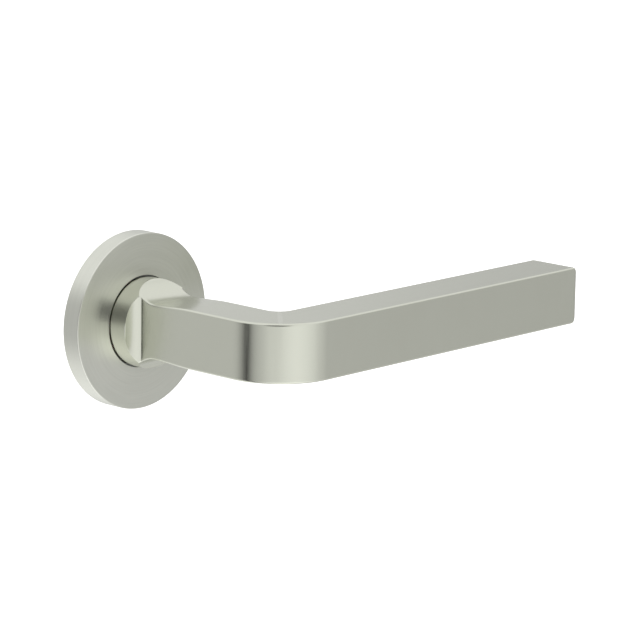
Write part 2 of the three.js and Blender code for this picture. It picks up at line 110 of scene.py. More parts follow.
NECK_RADIUS = 13.25 * MM
NECK_FOOT = 5.7 * MM
NECK_FOOT_ROUND = 0.25 * MM
RIDGE_ROUND = 0.3 * MM
SIDE_SCOOP_START = 12.2 * MM
WAIST_HEIGHT = 16.3 * MM
WAIST_AT = 19.1 * MM
CROWN_RADIUS = 9.8 * MM
FULL_HEIGHT_AT = 33 * MM

COVER_WALL = 1 * MM
NECK_GAP = 0.35 * MM
RUN_GAP = 0.2 * MM
REST_GAP = 0.3 * MM
SMALL_ROUND = 0.15 * MM
CAST_ROUND = 0.2 * MM

LARGE_SEGMENTS = 160
SMALL_SEGMENTS = 48
ON_AXIS = 1e-9
# How far a cutting tool reaches past what it cuts.
CLEAR = 1 * MM

# -------------------- mesh tools

SAME_POINT = 0.002 * MM
SUPPORT = 0.3 * MM
NEARLY_STRAIGHT = math.pi - 0.02
LONGEST_SET_BACK = 1 / 2.2


def new_object(name, vertices, faces):
    """A mesh object with its faces turned outwards and doubled points joined."""
    mesh = bpy.data.meshes.new(name)
    mesh.from_pydata([tuple(v) for v in vertices], [], faces)
    work = bmesh.new()
    work.from_mesh(mesh)
    bmesh.ops.remove_doubles(work, verts=work.verts, dist=SAME_POINT)
    bmesh.ops.recalc_face_normals(work, faces=work.faces)
    work.to_mesh(mesh)
    work.free()
    piece = bpy.data.objects.new(name, mesh)
    bpy.context.scene.collection.objects.link(piece)
    return piece


def apply_modifiers(piece):
    depsgraph = bpy.context.evaluated_depsgraph_get()
    mesh = bpy.data.meshes.new_from_object(piece.evaluated_get(depsgraph))
    old = piece.data
    piece.modifiers.clear()
    piece.data = mesh
    bpy.data.meshes.remove(old)
    return piece


def combine(piece, tool, operation):
    """Joins or cuts a piece with a tool, and removes the tool."""
    modifier = piece.modifiers.new(operation, "BOOLEAN")
    modifier.operation = operation
    modifier.solver = "EXACT"
    modifier.object = tool
    apply_modifiers(piece)
    bpy.data.objects.remove(tool)
    return piece


def cut(piece, *tools):
    for tool in tools:
        combine(piece, tool, "DIFFERENCE")
    return piece


def join(piece, *tools):
    for tool in tools:
        combine(piece, tool, "UNION")
    return piece


def shade(piece, angle=32):
    """Smooth shading, broken at edges sharper than the angle, with flats kept flat."""
    piece.data.shade_smooth()
    piece.data.set_sharp_from_angle(angle=math.radians(angle))
    modifier = piece.modifiers.new("normals", "WEIGHTED_NORMAL")
    modifier.keep_sharp = True
    return apply_modifiers(piece)


def bevel(piece, width, segments=2, angle=40):
    modifier = piece.modifiers.new("bevel", "BEVEL")
    modifier.width = width
    modifier.segments = segments
    modifier.limit_method = "ANGLE"
    modifier.angle_limit = math.radians(angle)
    return apply_modifiers(piece)


def rounded(outline, radius, steps=3):
    """A closed outline of [a, b] points with every corner rounded by the radius, where it fits, and
    with a point a little way along the flats on each side of it, which keeps those flat."""
    points = [np.array(p, float) for p in outline]
    result = []
    for index, corner in enumerate(points):
        before = points[index - 1] - corner
        after = points[(index + 1) % len(points)] - corner
        reach_before = np.linalg.norm(before)
        reach_after = np.linalg.norm(after)
        before = before / reach_before
        after = after / reach_after
        opening = math.acos(float(np.clip(before @ after, -1, 1)))
        if opening > NEARLY_STRAIGHT or corner[0] < ON_AXIS:
            result.append(corner)
            continue
        longest = min(reach_before, reach_after) * LONGEST_SET_BACK
        set_back = min(radius / math.tan(opening / 2), longest)
        start = corner + before * set_back
        end = corner + after * set_back
        spare_before = min(SUPPORT, (reach_before / 2 - set_back) / 2)
        spare_after = min(SUPPORT, (reach_after / 2 - set_back) / 2)
        result.append(start + before * spare_before)
        for step in range(steps + 1):
            share = step / steps
            low = start * (1 - share) + corner * share
            high = corner * (1 - share) + end * share
            result.append(low * (1 - share) + high * share)
        result.append(end + after * spare_after)
    return result


def turned(name, outline_at, segments):
    """A piece turned round the spindle axis. outline_at(share of a turn) gives its closed outline there
    as [radius, height] points, as many at each share. Sides that lie on the axis get no face."""
    first = outline_at(0)
    count = len(first)
    vertices = []
    faces = []
    for step in range(segments):
        angle = 2 * math.pi * step / segments
        across, up = math.cos(angle), math.sin(angle)
        vertices += [(r * across, -h, r * up) for r, h in outline_at(step / segments)]
        here = step * count
        there = (step + 1) % segments * count
        for index in range(count):
            after = (index + 1) % count
            if max(first[index][0], first[after][0]) > ON_AXIS:
                faces.append((here + index, here + after, there + after, there + index))
    return new_object(name, vertices, faces)


def lathe(name, outline, segments, round_by):
    """The same closed outline all round, with its corners rounded."""
    points = rounded(outline, round_by) if round_by else outline
    return turned(name, lambda share: points, segments)


def move(piece, x=0.0, z=0.0, turn=0.0):
    """Turns a piece's mesh round the Y direction, in degrees, then moves it in the door's plane."""
    matrix = Matrix.Translation((x, 0, z)) @ Matrix.Rotation(-math.radians(turn), 4, "Y")
    piece.data.transform(matrix)
    return piece


def prism(name, outline, foot, top):
    """An outline of [x, z] points, filled and made thick from one height to another."""
    count = len(outline)
    vertices = [(x, -foot, z) for x, z in outline] + [(x, -top, z) for x, z in outline]
    faces = [tuple(range(count)), tuple(range(count, 2 * count))]
    faces += [(i, (i + 1) % count, (i + 1) % count + count, i + count) for i in range(count)]
    return new_object(name, vertices, faces)


def polar(radius, degrees):
    return (radius * math.cos(math.radians(degrees)), radius * math.sin(math.radians(degrees)))


def arc(radius, from_degrees, to_degrees, steps):
    span = to_degrees - from_degrees
    return [polar(radius, from_degrees + span * step / steps) for step in range(steps + 1)]


def rod(name, radius, foot, top, round_by=0):
    """A small solid cylinder round the spindle axis."""
    return lathe(name, ring_outline(0, radius, foot, top), SMALL_SEGMENTS, round_by)


def sector(inner, outer, from_degrees, to_degrees, steps=32):
    """The outline of a piece of a ring."""
    return arc(outer, from_degrees, to_degrees, steps) + arc(inner, to_degrees, from_degrees, steps)


def ring_outline(inner, outer, foot, top):
    return [(inner, foot), (outer, foot), (outer, top), (inner, top)]


# -------------------- lever mesh

SIDE_SCOOP_SWEEP = math.radians(40)
SIDE_SCOOP_RADIUS = (NECK_RADIUS - BAR_THICKNESS / 2) / math.sin(SIDE_SCOOP_SWEEP)
SIDE_SCOOP_END = SIDE_SCOOP_START + SIDE_SCOOP_RADIUS * (1 - math.cos(SIDE_SCOOP_SWEEP))
CROWN_CENTRE = WAIST_HEIGHT / 2 + CROWN_RADIUS
BACK = FRONT - BAR_THICKNESS
OUTER_CENTRE = (BEND_OUTER - BAR_THICKNESS / 2, FRONT - BEND_OUTER)
INNER_CENTRE = (BAR_THICKNESS / 2 + BEND_INNER, BACK - BEND_INNER)
BEND_RUN = BEND_OUTER * math.pi / 2
FLAT_END = TIP_X - TIP_BULGE

# How many stations each stretch of the lever has.
CROWN_STATIONS = 14
RIDGE_STATIONS = 6
SCOOP_STATIONS = 24
SHANK_STATIONS = 26
BEND_STATIONS = 42
TIP_STATIONS = 9


def smooth_step(value, start, end):
    share = min(max((value - start) / (end - start), 0), 1)
    return share * share * (3 - 2 * share)


def smooth_min(a, b, softness):
    share = min(max(0.5 + 0.5 * (b - a) / softness, 0), 1)
    return b + (a - b) * share - softness * share * (1 - share)


def half_height_at(height):
    """Half the lever's height: the neck, the round hollow down to the waist, then a slow swell."""
    if height >= WAIST_AT:
        swell = smooth_step(height, WAIST_AT, FULL_HEIGHT_AT)
        return (WAIST_HEIGHT + (BAR_HEIGHT - WAIST_HEIGHT) * swell) / 2
    below = min(WAIST_AT - height, CROWN_RADIUS)
    hollow = CROWN_CENTRE - math.sqrt(CROWN_RADIUS ** 2 - below ** 2)
    return smooth_min(NECK_RADIUS, hollow, 2 * RIDGE_ROUND)


def section_corner(half_width, half_height, edge_round, small_steps=6, neck_steps=18):
    """One quarter of a cross-section, from its side to its top, as [across, up] points.
    The round neck cuts the rectangle, and every ridge is rounded."""
    inside = NECK_RADIUS - edge_round
    across = min(half_width, NECK_RADIUS) - edge_round
    up = min(half_height, NECK_RADIUS) - edge_round
    if math.hypot(across, up) <= inside:
        first = second = (across, up)
        arc_centre, arc_radius = first, edge_round
    else:
        first = (across, math.sqrt(max(inside ** 2 - across ** 2, 0)))
        second = (math.sqrt(max(inside ** 2 - up ** 2, 0)), up)
        arc_centre, arc_radius = (0, 0), NECK_RADIUS
    start = math.atan2(first[1], first[0])
    end = math.atan2(second[1], second[0])
    points = []
    for centre, radius, low, high, steps in (
        (first, edge_round, 0, start, small_steps),
        (arc_centre, arc_radius, start, end, neck_steps),
        (second, edge_round, end, math.pi / 2, small_steps),
    ):
        for step in range(steps + 1):
            angle = low + (high - low) * step / steps
            points.append((centre[0] + radius * math.cos(angle), centre[1] + radius * math.sin(angle)))
    side, top = points[0], points[-1]
    beside = (side[0], side[1] - min(SUPPORT, side[1] / 2))
    beyond = (top[0] - min(SUPPORT, top[0] / 2), top[1])
    return [beside] + points + [beyond]


def cross_section(half_width, half_height, edge_round):
    corner = section_corner(half_width, half_height, edge_round)
    mirrored = corner[::-1]
    return (
        corner
        + [(-x, y) for x, y in mirrored]
        + [(-x, -y) for x, y in corner]
        + [(x, -y) for x, y in mirrored]
    )


def neck_profile():
    """Stations from the neck's foot up the shank, as (height, half width)."""
    ridge_foot = SIDE_SCOOP_START - RIDGE_ROUND
    stations = [(NECK_FOOT, NECK_RADIUS - NECK_FOOT_ROUND), (NECK_FOOT + NECK_FOOT_ROUND, NECK_RADIUS)]
    for height in np.linspace(WAIST_AT - CROWN_RADIUS, ridge_foot, CROWN_STATIONS):
        stations.append((height, NECK_RADIUS))
    for angle in np.linspace(0, math.pi / 2, RIDGE_STATIONS)[1:]:
        half_width = NECK_RADIUS - RIDGE_ROUND + RIDGE_ROUND * math.cos(angle)
        stations.append((ridge_foot + RIDGE_ROUND * math.sin(angle), half_width))
    scoop_start = math.asin(RIDGE_ROUND / SIDE_SCOOP_RADIUS)
    for angle in np.linspace(scoop_start, SIDE_SCOOP_SWEEP, SCOOP_STATIONS)[1:]:
        height = SIDE_SCOOP_START + SIDE_SCOOP_RADIUS * (1 - math.cos(angle))
        stations.append((height, NECK_RADIUS - SIDE_SCOOP_RADIUS * math.sin(angle)))
    for height in np.linspace(SIDE_SCOOP_END, FULL_HEIGHT_AT, SHANK_STATIONS)[1:]:
        stations.append((height, BAR_THICKNESS / 2))
    return stations


def lever_rings():
    """Rings of points round the lever, from the neck's foot to the tip."""
    stations = []
    for height, half_width in neck_profile():
        grown = smooth_step(height, SIDE_SCOOP_START, WAIST_AT + RIDGE_ROUND)
        half_height = half_height_at(height)
        if height < NECK_FOOT + RIDGE_ROUND:
            half_height = min(half_height, half_width)
        edge = RIDGE_ROUND + (BAR_ROUND - RIDGE_ROUND) * grown
        stations.append(((-half_width, height), (half_width, height), half_height, edge))
    for angle in np.linspace(math.pi, math.pi / 2, BEND_STATIONS):
        turn = (math.cos(angle), math.sin(angle))
        outer = (OUTER_CENTRE[0] + BEND_OUTER * turn[0], OUTER_CENTRE[1] + BEND_OUTER * turn[1])
        inner = (INNER_CENTRE[0] + BEND_INNER * turn[0], INNER_CENTRE[1] + BEND_INNER * turn[1])
        stations.append((outer, inner, BAR_HEIGHT / 2, BAR_ROUND))
    for angle in np.linspace(0, math.pi / 2, TIP_STATIONS):
        forward = math.sin(angle)
        sunk = 1 - math.cos(angle)
        outer = (FLAT_END - TIP_FRONT_ROUND * (1 - forward), FRONT - TIP_FRONT_ROUND * sunk)
        inner = (FLAT_END - TIP_BACK_ROUND * (1 - forward), BACK + TIP_BACK_ROUND * sunk)
        stations.append((
            outer, inner, BAR_HEIGHT / 2 - TIP_EDGE_ROUND * sunk, BAR_ROUND + TIP_EDGE_ROUND * sunk))

    rings = []
    for outer, inner, half_height, edge in stations:
        outer, inner = np.array(outer), np.array(inner)
        middle = (outer + inner) / 2
        half_width = np.linalg.norm(inner - outer) / 2
        along = (inner - middle) / half_width
        ring = []
        for across, up in cross_section(half_width, half_height, edge):
            x, height = middle + along * across
            near_tip = smooth_step(x, FLAT_END - TIP_REACH, FLAT_END)
            x += TIP_BULGE * near_tip * max(1 - (2 * up / BAR_HEIGHT) ** 2, 0)
            ring.append((x, -height, up))
        rings.append(ring)
    return rings


def tip_cap(last_ring, steps=6):
    """Rings that close the tip with a slightly crowned end."""
    ring = np.array(last_ring)
    centre = ring.mean(axis=0)
    caps = []
    for step in range(1, steps):
        shrunk = centre + (ring - centre) * (1 - step / steps)
        crown = 1 - (2 * shrunk[:, 2] / BAR_HEIGHT) ** 2
        shrunk[:, 0] = FLAT_END + TIP_BULGE * np.maximum(crown, 0)
        caps.append([tuple(p) for p in shrunk])
    return caps


def loft(name, rings):
    count = len(rings[0])
    vertices = [point for ring in rings for point in ring]
    faces = []
    for ring in range(len(rings) - 1):
        low = ring * count
        high = low + count
        for side in range(count):
            after = (side + 1) % count
            faces.append((low + side, low + after, high + after, high + side))
    faces.append(tuple(range(count)))
    faces.append(tuple(range(len(vertices) - count, len(vertices))))
    return new_object(name, vertices, faces)


def write_grain(piece):
    """Stores, for every point, how far along the lever it is and how far across, for the brushing."""
    centre_x, centre_height = INNER_CENTRE
    values = []
    for vertex in piece.data.vertices:
        x, height, up = vertex.co.x, -vertex.co.y, vertex.co.z
        if x > centre_x:
            run = centre_height + BEND_RUN + x - centre_x
            across = BACK + BAR_THICKNESS / 2 - height
        elif height < centre_height:
            run, across = height, x
        else:
            turn = math.atan2(height - centre_height, centre_x - x)
            run = centre_height + BEND_RUN * turn / (math.pi / 2)
            across = centre_x - math.hypot(height - centre_height, centre_x - x)
        values += [run, across, up]
    grain = piece.data.attributes.new("grain", "FLOAT_VECTOR", "POINT")
    grain.data.foreach_set("vector", values)
    return piece


# -------------------- materials


NOISE_ROUGHNESS = 0.55
NOISE_LOW = 0.3
NOISE_HIGH = 0.7
FLAT_POINTINESS = 0.52
EDGE_POINTINESS = 0.6


class Nodes:
    """A node tree under construction, with short calls for the nodes used here."""

    def __init__(self, tree):
        self.tree = tree

    def plug(self, value, socket):
        if isinstance(value, bpy.types.NodeSocket):
            self.tree.links.new(value, socket)
        else:
            socket.default_value = value

    def node(self, kind, **settings):
        made = self.tree.nodes.new(kind)
        for key, value in settings.items():
            setattr(made, key, value)
        return made

    def math(self, operation, *values):
        made = self.node("ShaderNodeMath", operation=operation)
        for value, socket in zip(values, made.inputs):
            self.plug(value, socket)
        return made.outputs[0]

    def vector_math(self, operation, vector, constant, output="Vector"):
        made = self.node("ShaderNodeVectorMath", operation=operation)
        self.plug(vector, made.inputs[0])
        made.inputs[1].default_value = constant
        return made.outputs[output]

    def split(self, vector):
        made = self.node("ShaderNodeSeparateXYZ")
        self.plug(vector, made.inputs[0])
        return made.outputs

    def remap(self, value, low, high, new_low, new_high, smooth=False):
        made = self.node("ShaderNodeMapRange")
        made.interpolation_type = "SMOOTHSTEP" if smooth else "LINEAR"
        for item, socket in zip((value, low, high, new_low, new_high), made.inputs):
            self.plug(item, socket)
        return made.outputs["Result"]


class Graph(Nodes):
    """A material's nodes, round its Principled shader."""

    def __init__(self, name, color, metallic, roughness):
        self.material = bpy.data.materials.new(name)
        self.material.use_nodes = True
        super().__init__(self.material.node_tree)
        self.shader = self.tree.nodes["Principled BSDF"]
        self.set("Base Color", (*color, 1))
        self.set("Metallic", metallic)
        self.set("Roughness", roughness)

    def set(self, socket, value):
        self.shader.inputs[socket].default_value = value

    def drive(self, socket, value):
        self.plug(value, self.shader.inputs[socket])

    def place(self):
        return self.node("ShaderNodeTexCoord").outputs["Object"]

    def normal(self):
        return self.node("ShaderNodeTexCoord").outputs["Normal"]

    def stored(self, name):
        return self.node("ShaderNodeAttribute", attribute_name=name).outputs["Vector"]

    def gather(self, x, y, z):
        made = self.node("ShaderNodeCombineXYZ")
        for value, socket in zip((x, y, z), made.inputs):
            self.plug(value, socket)
        return made.outputs[0]

    def noise(self, vector, scale, detail):
        made = self.node("ShaderNodeTexNoise")
        self.plug(vector, made.inputs["Vector"])
        made.inputs["Scale"].default_value = scale
        made.inputs["Detail"].default_value = detail
        made.inputs["Roughness"].default_value = NOISE_ROUGHNESS
        return made.outputs["Fac"]

    def mix(self, share, first, second):
        made = self.node("ShaderNodeMix", data_type="RGBA")
        self.plug(share, made.inputs[0])
        for value, socket in ((first, made.inputs[6]), (second, made.inputs[7])):
            self.plug(value if isinstance(value, bpy.types.NodeSocket) else (*value, 1), socket)
        return made.outputs[2]

    def blend(self, share, first, second):
        made = self.node("ShaderNodeMix", data_type="FLOAT")
        for value, number in ((share, 0), (first, 2), (second, 3)):
            self.plug(value, made.inputs[number])
        return made.outputs[0]

    def bump(self, height, depth, strength):
        made = self.node("ShaderNodeBump")
        made.inputs["Strength"].default_value = strength
        made.inputs["Distance"].default_value = depth
        self.plug(height, made.inputs["Height"])
        self.drive("Normal", made.outputs["Normal"])

    def edge_wear(self, most):
        """The given share on outward edges, 0 on flats."""
        pointy = self.node("ShaderNodeNewGeometry").outputs["Pointiness"]
        on_edge = self.remap(pointy, FLAT_POINTINESS, EDGE_POINTINESS, 0, 1, smooth=True)
        return self.math("MULTIPLY", on_edge, most)

    def tint(self, share, first, second):
        self.drive("Base Color", self.mix(share, first, second))

    def roughen(self, noise, low, high):
        self.drive("Roughness", self.remap(noise, NOISE_LOW, NOISE_HIGH, low, high))

    def average(self, first, second):
        return self.math("MULTIPLY", self.math("ADD", first, second), 0.5)


NICKEL = (0.655, 0.670, 0.590)
NICKEL_DARK = (0.600, 0.612, 0.530)
NICKEL_EDGE = (0.80, 0.81, 0.74)
TURNED_NICKEL = (0.760, 0.772, 0.705)
TURNED_DARK = (0.595, 0.605, 0.545)
GRAIN_PITCH = 4200
FINE_RING_PITCH = 5200
COARSE_RING_PITCH = 1500
# How much slower brushing marks change along their stroke than across it.
GRAIN_DRAW = 0.02
FACING_SIDE = 0.55
FACING_UP = 0.8
NECK_BRUSHING = (11.5 * MM, 13 * MM)
WEAR_OUTER = 0.1 * MM
WEAR_INNER = 0.4 * MM


def satin_nickel():
    """Brushed plate: the sides are brushed upright, the top and bottom along, the neck round."""
    g = Graph("satin_nickel", NICKEL, 1, 0.26)
    run, across, up = g.split(g.stored("grain"))
    slow_run, slow_across, slow_up = [g.math("MULTIPLY", item, GRAIN_DRAW) for item in (run, across, up)]
    upright = g.noise(g.gather(run, across, slow_up), GRAIN_PITCH, 3)
    lengthwise = g.noise(g.gather(slow_run, across, up), GRAIN_PITCH, 3)
    round_neck = g.noise(g.gather(run, slow_across, slow_up), GRAIN_PITCH, 3)
    facing = g.math("ABSOLUTE", g.split(g.normal())[2])
    on_top = g.remap(facing, FACING_SIDE, FACING_UP, 0, 1, smooth=True)
    on_neck = g.remap(run, *NECK_BRUSHING, 1, 0, smooth=True)
    grain = g.blend(on_neck, g.blend(on_top, upright, lengthwise), round_neck)
    tone = g.average(grain, g.noise(g.stored("grain"), 45, 2))
    g.tint(g.edge_wear(0.3), g.mix(tone, NICKEL_DARK, NICKEL), NICKEL_EDGE)
    g.roughen(grain, 0.20, 0.26)
    g.bump(grain, 0.006 * MM, 0.3)
    return g.material


def turned_nickel():
    """The rose cover: fine rings from turning on its face and round its rim, worn on its front edge."""
    g = Graph("satin_nickel_turned", NICKEL, 1, 0.33)
    x, y, z = g.split(g.place())
    radius = g.math("SQRT", g.math("ADD", g.math("MULTIPLY", x, x), g.math("MULTIPLY", z, z)))
    slow_x, slow_z = [g.math("MULTIPLY", item, GRAIN_DRAW) for item in (x, z)]
    fine = g.noise(g.gather(radius, slow_x, slow_z), FINE_RING_PITCH, 3)
    coarse = g.noise(g.gather(g.math("ADD", radius, y), slow_x, slow_z), COARSE_RING_PITCH, 4)
    rings = g.average(fine, coarse)
    drift = g.noise(g.place(), 60, 2)
    rim = g.remap(radius, ROSE_RADIUS - WEAR_INNER, ROSE_RADIUS - WEAR_OUTER, 0, 1, smooth=True)
    front = g.remap(y, WEAR_OUTER - ROSE_THICKNESS, WEAR_INNER - ROSE_THICKNESS, 1, 0, smooth=True)
    worn = g.math("MULTIPLY", g.math("MULTIPLY", rim, front), 0.5)
    g.tint(worn, g.mix(rings, TURNED_DARK, TURNED_NICKEL), NICKEL_EDGE)
    g.drive("Roughness", g.remap(g.math("ADD", rings, drift), 0.7, 1.3, 0.29, 0.36))
    g.bump(rings, 0.010 * MM, 0.6)
    g.set("Anisotropic", 0.7)
    g.set("Anisotropic Rotation", 0.25)
    tangent = g.node("ShaderNodeTangent", direction_type="RADIAL", axis="Y")
    g.drive("Tangent", tangent.outputs[0])
    return g.material


def cast_zinc():
    g = Graph("cast_zinc", (0.42, 0.43, 0.44), 0.85, 0.55)
    grit = g.noise(g.place(), 2600, 4)
    flow = g.noise(g.place(), 160, 3)
    g.tint(flow, (0.33, 0.34, 0.35), (0.50, 0.51, 0.52))
    g.roughen(grit, 0.45, 0.65)
    g.bump(g.math("ADD", g.math("MULTIPLY", grit, 0.5), flow), 0.04 * MM, 0.6)
    return g.material


def plated_steel():
    g = Graph("plated_steel", (0.58, 0.60, 0.61), 1, 0.3)
    drawn = g.noise(g.vector_math("MULTIPLY", g.place(), (1, 0.03, 1)), 2400, 3)
    bloom = g.noise(g.place(), 300, 3)
    tone = g.mix(bloom, (0.50, 0.53, 0.56), (0.66, 0.66, 0.64))
    g.tint(g.edge_wear(0.4), tone, (0.75, 0.76, 0.77))
    g.drive("Roughness", g.remap(g.math("ADD", drawn, bloom), 0.7, 1.3, 0.24, 0.42))
    g.bump(drawn, 0.01 * MM, 0.5)
    return g.material


def spring_steel():
    g = Graph("spring_steel", (0.25, 0.24, 0.225), 1, 0.36)
    drawn = g.noise(g.place(), 1800, 4)
    g.tint(drawn, (0.19, 0.18, 0.165), (0.33, 0.32, 0.30))
    g.roughen(drawn, 0.28, 0.45)
    g.bump(drawn, 0.01 * MM, 0.5)
    return g.material


def black_steel():
    g = Graph("black_steel", (0.03, 0.03, 0.032), 0.8, 0.45)
    mottle = g.noise(g.place(), 1500, 4)
    tone = g.mix(mottle, (0.02, 0.02, 0.022), (0.055, 0.055, 0.06))
    g.tint(g.edge_wear(1), tone, (0.2, 0.2, 0.21))
    g.roughen(mottle, 0.36, 0.56)
    g.bump(mottle, 0.01 * MM, 0.5)
    return g.material


def natural_nylon():
    g = Graph("natural_nylon", (0.76, 0.73, 0.64), 0, 0.45)
    fine = g.noise(g.place(), 2200, 3)
    flow = g.noise(g.place(), 240, 2)
    g.tint(flow, (0.72, 0.69, 0.59), (0.80, 0.78, 0.70))
    g.roughen(fine, 0.38, 0.52)
    g.set("Subsurface Weight", 0.15)
    g.set("Subsurface Scale", 0.5 * MM)
    g.bump(fine, 0.01 * MM, 0.5)
    return g.material


def black_rubber():
    g = Graph("black_rubber", (0.02, 0.02, 0.021), 0, 0.75)
    fine = g.noise(g.place(), 3000, 3)
    g.tint(fine, (0.014, 0.014, 0.015), (0.035, 0.035, 0.036))
    g.roughen(fine, 0.65, 0.85)
    g.bump(fine, 0.02 * MM, 0.6)
    return g.material


MATERIALS = {
    "satin_nickel": satin_nickel(),
    "satin_nickel_turned": turned_nickel(),
    "cast_zinc": cast_zinc(),
    "plated_steel": plated_steel(),
    "spring_steel": spring_steel(),
    "black_steel": black_steel(),
    "natural_nylon": natural_nylon(),
    "black_rubber": black_rubber(),
}
SLOT_OF = {row["node"]: row["material_slot"] for row in frame["record"]["subparts"]}
BODY_OF = {
    node: body for body, nodes in frame["record"]["behaviour"]["bodies"].items() for node in nodes
}


def dress(piece, node, rides=True):
    """Gives a piece its node's finish and body, and lets it stand for that node."""
    piece.data.materials.clear()
    piece.data.materials.append(MATERIALS[SLOT_OF[node]])
    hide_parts(node)
    if rides:
        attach(piece, BODY_OF[node])
    return piece


# -------------------- the lever

JOURNAL_RADIUS = 9 * MM
JOURNAL_FLATS = 15.4 * MM
GROOVE_DEPTH = 0.8 * MM
SPINDLE_SIZE = 8 * MM
SPINDLE_CHAMFER = 0.8 * MM
SPINDLE_EDGE = 0.12 * MM
SOCKET_DEPTH = 28 * MM
GRUB_RADIUS = 2.5 * MM
GRUB_AT = 22 * MM
JOURNAL_EDGE = 0.06 * MM
CARRIER_TAB_RISE = 3.3 * MM
carrier_top = tab_top - CARRIER_TAB_RISE


def square_prism(name, side, foot, top):
    half = side / 2
    return prism(name, [(-half, -half), (half, -half), (half, half), (-half, half)], foot, top)


def two_flat_outline(radius, across, steps=40):
    """A circle with its upper and lower parts cut off flat."""
    edge = math.degrees(math.asin(across / 2 / radius))
    return arc(radius, -edge, edge, steps) + arc(radius, 180 - edge, 180 + edge, steps)


def journal():
    groove = JOURNAL_RADIUS - GROOVE_DEPTH
    foot = JOURNAL_END
    outline = [
        (0, foot), (groove, foot), (JOURNAL_RADIUS, foot + GROOVE_DEPTH / 2),
        (JOURNAL_RADIUS, clip_foot - RUN_GAP), (groove, clip_foot - RUN_GAP),
        (groove, clip_top + RUN_GAP), (JOURNAL_RADIUS, clip_top + RUN_GAP),
        (JOURNAL_RADIUS, NECK_FOOT + REST_GAP), (0, NECK_FOOT + REST_GAP),
    ]
    shaft = lathe("journal", outline, LARGE_SEGMENTS, JOURNAL_EDGE)
    reach = 2 * JOURNAL_RADIUS
    side_cut = JOURNAL_FLATS / 2 + reach / 2
    for direction in (-1, 1):
        trim = square_prism("trim", reach, foot - REST_GAP, carrier_top + REST_GAP)
        cut(shaft, move(trim, z=direction * side_cut))
    return shaft


def upright(piece):
    """Turns a piece that was made along the spindle axis so that it hangs down from that axis."""
    piece.data.transform(Matrix.Translation((0, -GRUB_AT, 0)) @ Matrix.Rotation(math.pi / 2, 4, "X"))
    return piece


def make_lever():
    rings = lever_rings()
    body = loft("lever_body", rings + tip_cap(rings[-1]))
    join(body, journal())
    socket_side = SPINDLE_SIZE + 2 * RUN_GAP
    socket = square_prism("socket", socket_side, JOURNAL_END - REST_GAP, SOCKET_DEPTH)
    hole = upright(rod("hole", GRUB_RADIUS, 0, 2 * NECK_RADIUS))
    cut(body, socket, hole)
    body.name = "lever_casting"
    write_grain(shade(body))
    return dress(body, "lever")


make_lever()


# -------------------- threads


# The share of a thread's pitch that its flanks take. The rest is a flat crest.
FLANK_SHARE = 1 / 1.15


def thread_wave(turns):
    """A V thread's height at a number of turns along it: 0 at the root, 1 at the crest."""
    share = turns % 1
    return min(2 * min(share, 1 - share) / FLANK_SHARE, 1)


def thread_points(radius, thread, foot, top, share, per_pitch=8):
    """Points up a threaded wall, with the thread fading out at both ends."""
    depth, pitch = thread["depth"], thread["pitch"]
    count = max(round((top - foot) / pitch * per_pitch), 2)
    points = []
    for index in range(count + 1):
        height = foot + (top - foot) * index / count
        fade = min((height - foot) / pitch, (top - height) / pitch, 1)
        wave = thread_wave(height / pitch - share)
        points.append((radius - depth * fade * (1 - wave), height))
    return points


# -------------------- pieces that turn with the lever


def make_spindle():
    foot, top = heights("spindle")
    piece = square_prism("square_spindle", SPINDLE_SIZE, foot, top)
    bevel(piece, SPINDLE_CHAMFER, 1, 80)
    bevel(piece, SPINDLE_EDGE, 2, 30)
    return dress(shade(piece), "spindle")


def hexagon(across):
    return [polar(across / math.sqrt(3), 60 * corner) for corner in range(6)]


GRUB_LENGTH = 3.4 * MM
GRUB_CHAMFER = 0.2 * MM
GRUB_THREAD = {"depth": 0.35 * MM, "pitch": 0.8 * MM}
KEY_ACROSS = 2.5 * MM
KEY_DEPTH = 1.6 * MM


def make_grub_screw():
    """A cone-pointed screw with a thread all along it and a hexagon socket."""
    radius = GRUB_RADIUS - REST_GAP
    tip = SPINDLE_SIZE / 2 + RUN_GAP + REST_GAP
    cone = radius / 2
    head = tip + GRUB_LENGTH

    def outline_at(share):
        wall = thread_points(radius, GRUB_THREAD, tip + cone, head - GRUB_CHAMFER, share)
        return [(0, tip), (cone, tip)] + wall + [(radius - GRUB_CHAMFER, head), (0, head)]

    piece = turned("socket_grub_screw", outline_at, SMALL_SEGMENTS)
    cut(piece, prism("key", hexagon(KEY_ACROSS), head - KEY_DEPTH, head + CLEAR))
    return dress(shade(upright(piece)), "grub_screw")


DRUM_INSIDE = 13.9 * MM
DRUM_WALL = 1.9 * MM
DRUM_OUTSIDE = DRUM_INSIDE + DRUM_WALL
WIRE_RADIUS = 0.9 * MM
LEG_REACH = DRUM_OUTSIDE - DRUM_WALL / 2
CARRIER_RADIUS = DRUM_OUTSIDE - RUN_GAP
CARRIER_RING = 1.4 * MM
CARRIER_EDGE = 0.2 * MM
TAB_WIDTH = 3 * MM
BUFFER_WIDTH = 1 * MM
TRAVEL = 45
WINDOW_STARTS = (75, 195)
WINDOW_SWEEP = 90


def spanned(length):
    """The angle, in degrees, that a length takes up round the middle of the drum's wall."""
    return math.degrees(length / LEG_REACH)


# Angles in degrees, from the free end of the spring: the tab, the buffer behind it, and the notch in
# which the tab and the spring's leg swing.
TAB_START = spanned(WIRE_RADIUS + REST_GAP)
TAB_END = TAB_START + spanned(TAB_WIDTH)
BUFFER_START = TAB_END + spanned(REST_GAP)
BUFFER_END = BUFFER_START + spanned(BUFFER_WIDTH)
NOTCH_START = -TRAVEL - spanned(WIRE_RADIUS + 2 * REST_GAP)
NOTCH_END = BUFFER_END + spanned(REST_GAP)


